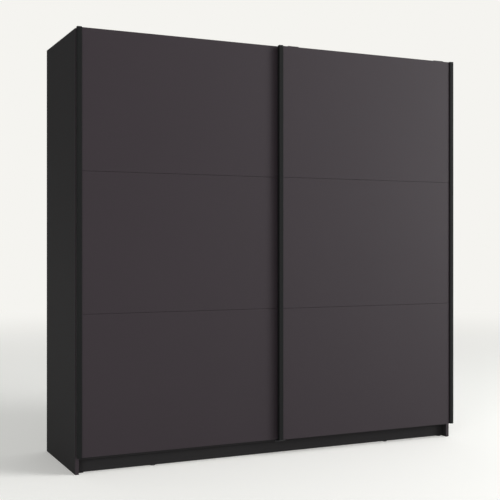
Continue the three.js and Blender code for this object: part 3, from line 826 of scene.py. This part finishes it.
# CAD nodes that keep their shape get their finish
kept = {"bottom_guide": blackPolyamide}
for side in sides:
    kept[f"back_panel_{side}_inner"] = hardboard
    kept[f"back_panel_{side}_outer"] = hardboard
    kept[f"back_strip_{side}"] = blackPolyamide
    kept[f"track_stop_{side}"] = blackPolyamide
for node, material in kept.items():
    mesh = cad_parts[node].data
    mesh.materials.clear()
    mesh.materials.append(material)
print("kept nodes finished")

# Floor and light
stage = {"reach": 60, "floor": "#f7f6f3", "roughness": 0.9, "specular": 0.1, "backdrop": "#f5f4f0",
         "glow": 0.26, "fadeStart": 1.6, "fadeEnd": 11.0}


def addFloor():
    mesh = bpy.data.meshes.new("floor")
    reach = stage["reach"]
    corners = [(-reach, -reach, 0), (reach, -reach, 0), (reach, reach, 0), (-reach, reach, 0)]
    mesh.from_pydata(corners, [], [(0, 1, 2, 3)])
    material = bpy.data.materials.new("pale_floor")
    material.use_nodes = True
    tree = material.node_tree
    shader = tree.nodes["Principled BSDF"]
    shader.inputs["Base Color"].default_value = linear(stage["floor"])
    shader.inputs["Roughness"].default_value = stage["roughness"]
    shader.inputs["Specular IOR Level"].default_value = stage["specular"]
    shader.inputs["Emission Color"].default_value = linear(stage["backdrop"])
    shader.inputs["Emission Strength"].default_value = stage["glow"]
    glow = addNode(tree, "ShaderNodeEmission", {"Color": linear(stage["backdrop"]), "Strength": 1.0})
    place = addNode(tree, "ShaderNodeTexCoord")
    away = addNode(tree, "ShaderNodeVectorMath", links={0: (place, "Object")}, operation="LENGTH")
    fade = addNode(tree, "ShaderNodeMapRange", {"From Min": stage["fadeStart"], "From Max": stage["fadeEnd"]},
                   {"Value": (away, "Value")}, interpolation_type="SMOOTHSTEP")
    mixed = addNode(tree, "ShaderNodeMixShader",
                    links={0: (fade, "Result"), 1: (shader, "BSDF"), 2: (glow, "Emission")})
    output = tree.nodes["Material Output"]
    tree.links.new(mixed.outputs["Shader"], output.inputs["Surface"])
    mesh.materials.append(material)
    floor = bpy.data.objects.new("floor", mesh)
    scene.collection.objects.link(floor)


lightAim = np.array([0, 0, 1.0])
lights = {
    "key": {"azimuth": 48, "elevation": 39, "distance": 8, "size": 3.5, "power": 215},
    "low": {"azimuth": 56, "elevation": 8, "distance": 10, "size": 3.7, "power": 515},
    "fill": {"azimuth": -42, "elevation": 10, "distance": 8, "size": 2.5, "power": 180},
}
world = {"start": -1, "stop": 0.4, "tint": "#f1f4f3", "left": 0.04, "right": 0.57}


def addLight(name, settings):
    # a square soft light: azimuth from straight in front towards +X, elevation above the horizon
    data = bpy.data.lights.new(name, "AREA")
    data.size = settings["size"]
    data.energy = settings["power"]
    turn, lift = math.radians(settings["azimuth"]), math.radians(settings["elevation"])
    away = np.array([math.sin(turn) * math.cos(lift), -math.cos(turn) * math.cos(lift), math.sin(lift)])
    light = bpy.data.objects.new(name, data)
    light.location = lightAim + settings["distance"] * away
    light.rotation_euler = (math.radians(90) - lift, 0, turn)
    light.visible_camera = False
    scene.collection.objects.link(light)


def addWorld():
    # the camera sees the pale backdrop; everything else is lit by a dimmer sky, darkest on the left
    background = bpy.data.worlds.new("studio")
    scene.world = background
    background.use_nodes = True
    tree = background.node_tree
    seen = tree.nodes["Background"]
    seen.inputs["Color"].default_value = linear(stage["backdrop"])
    direction = addNode(tree, "ShaderNodeTexCoord")
    across = addNode(tree, "ShaderNodeSeparateXYZ", links={0: (direction, "Generated")})
    level = addNode(tree, "ShaderNodeMapRange",
                    {"From Min": world["start"], "From Max": world["stop"],
                     "To Min": world["left"], "To Max": world["right"]}, {"Value": (across, "X")})
    dim = addNode(tree, "ShaderNodeBackground", {"Color": linear(world["tint"])},
                  {"Strength": (level, "Result")})
    ray = addNode(tree, "ShaderNodeLightPath")
    both = addNode(tree, "ShaderNodeMixShader",
                   links={0: (ray, "Is Camera Ray"), 1: (dim, "Background"), 2: (seen, "Background")})
    tree.links.new(both.outputs["Shader"], tree.nodes["World Output"].inputs["Surface"])


addFloor()
for name, settings in lights.items():
    addLight(name, settings)
addWorld()
print("studio lit")
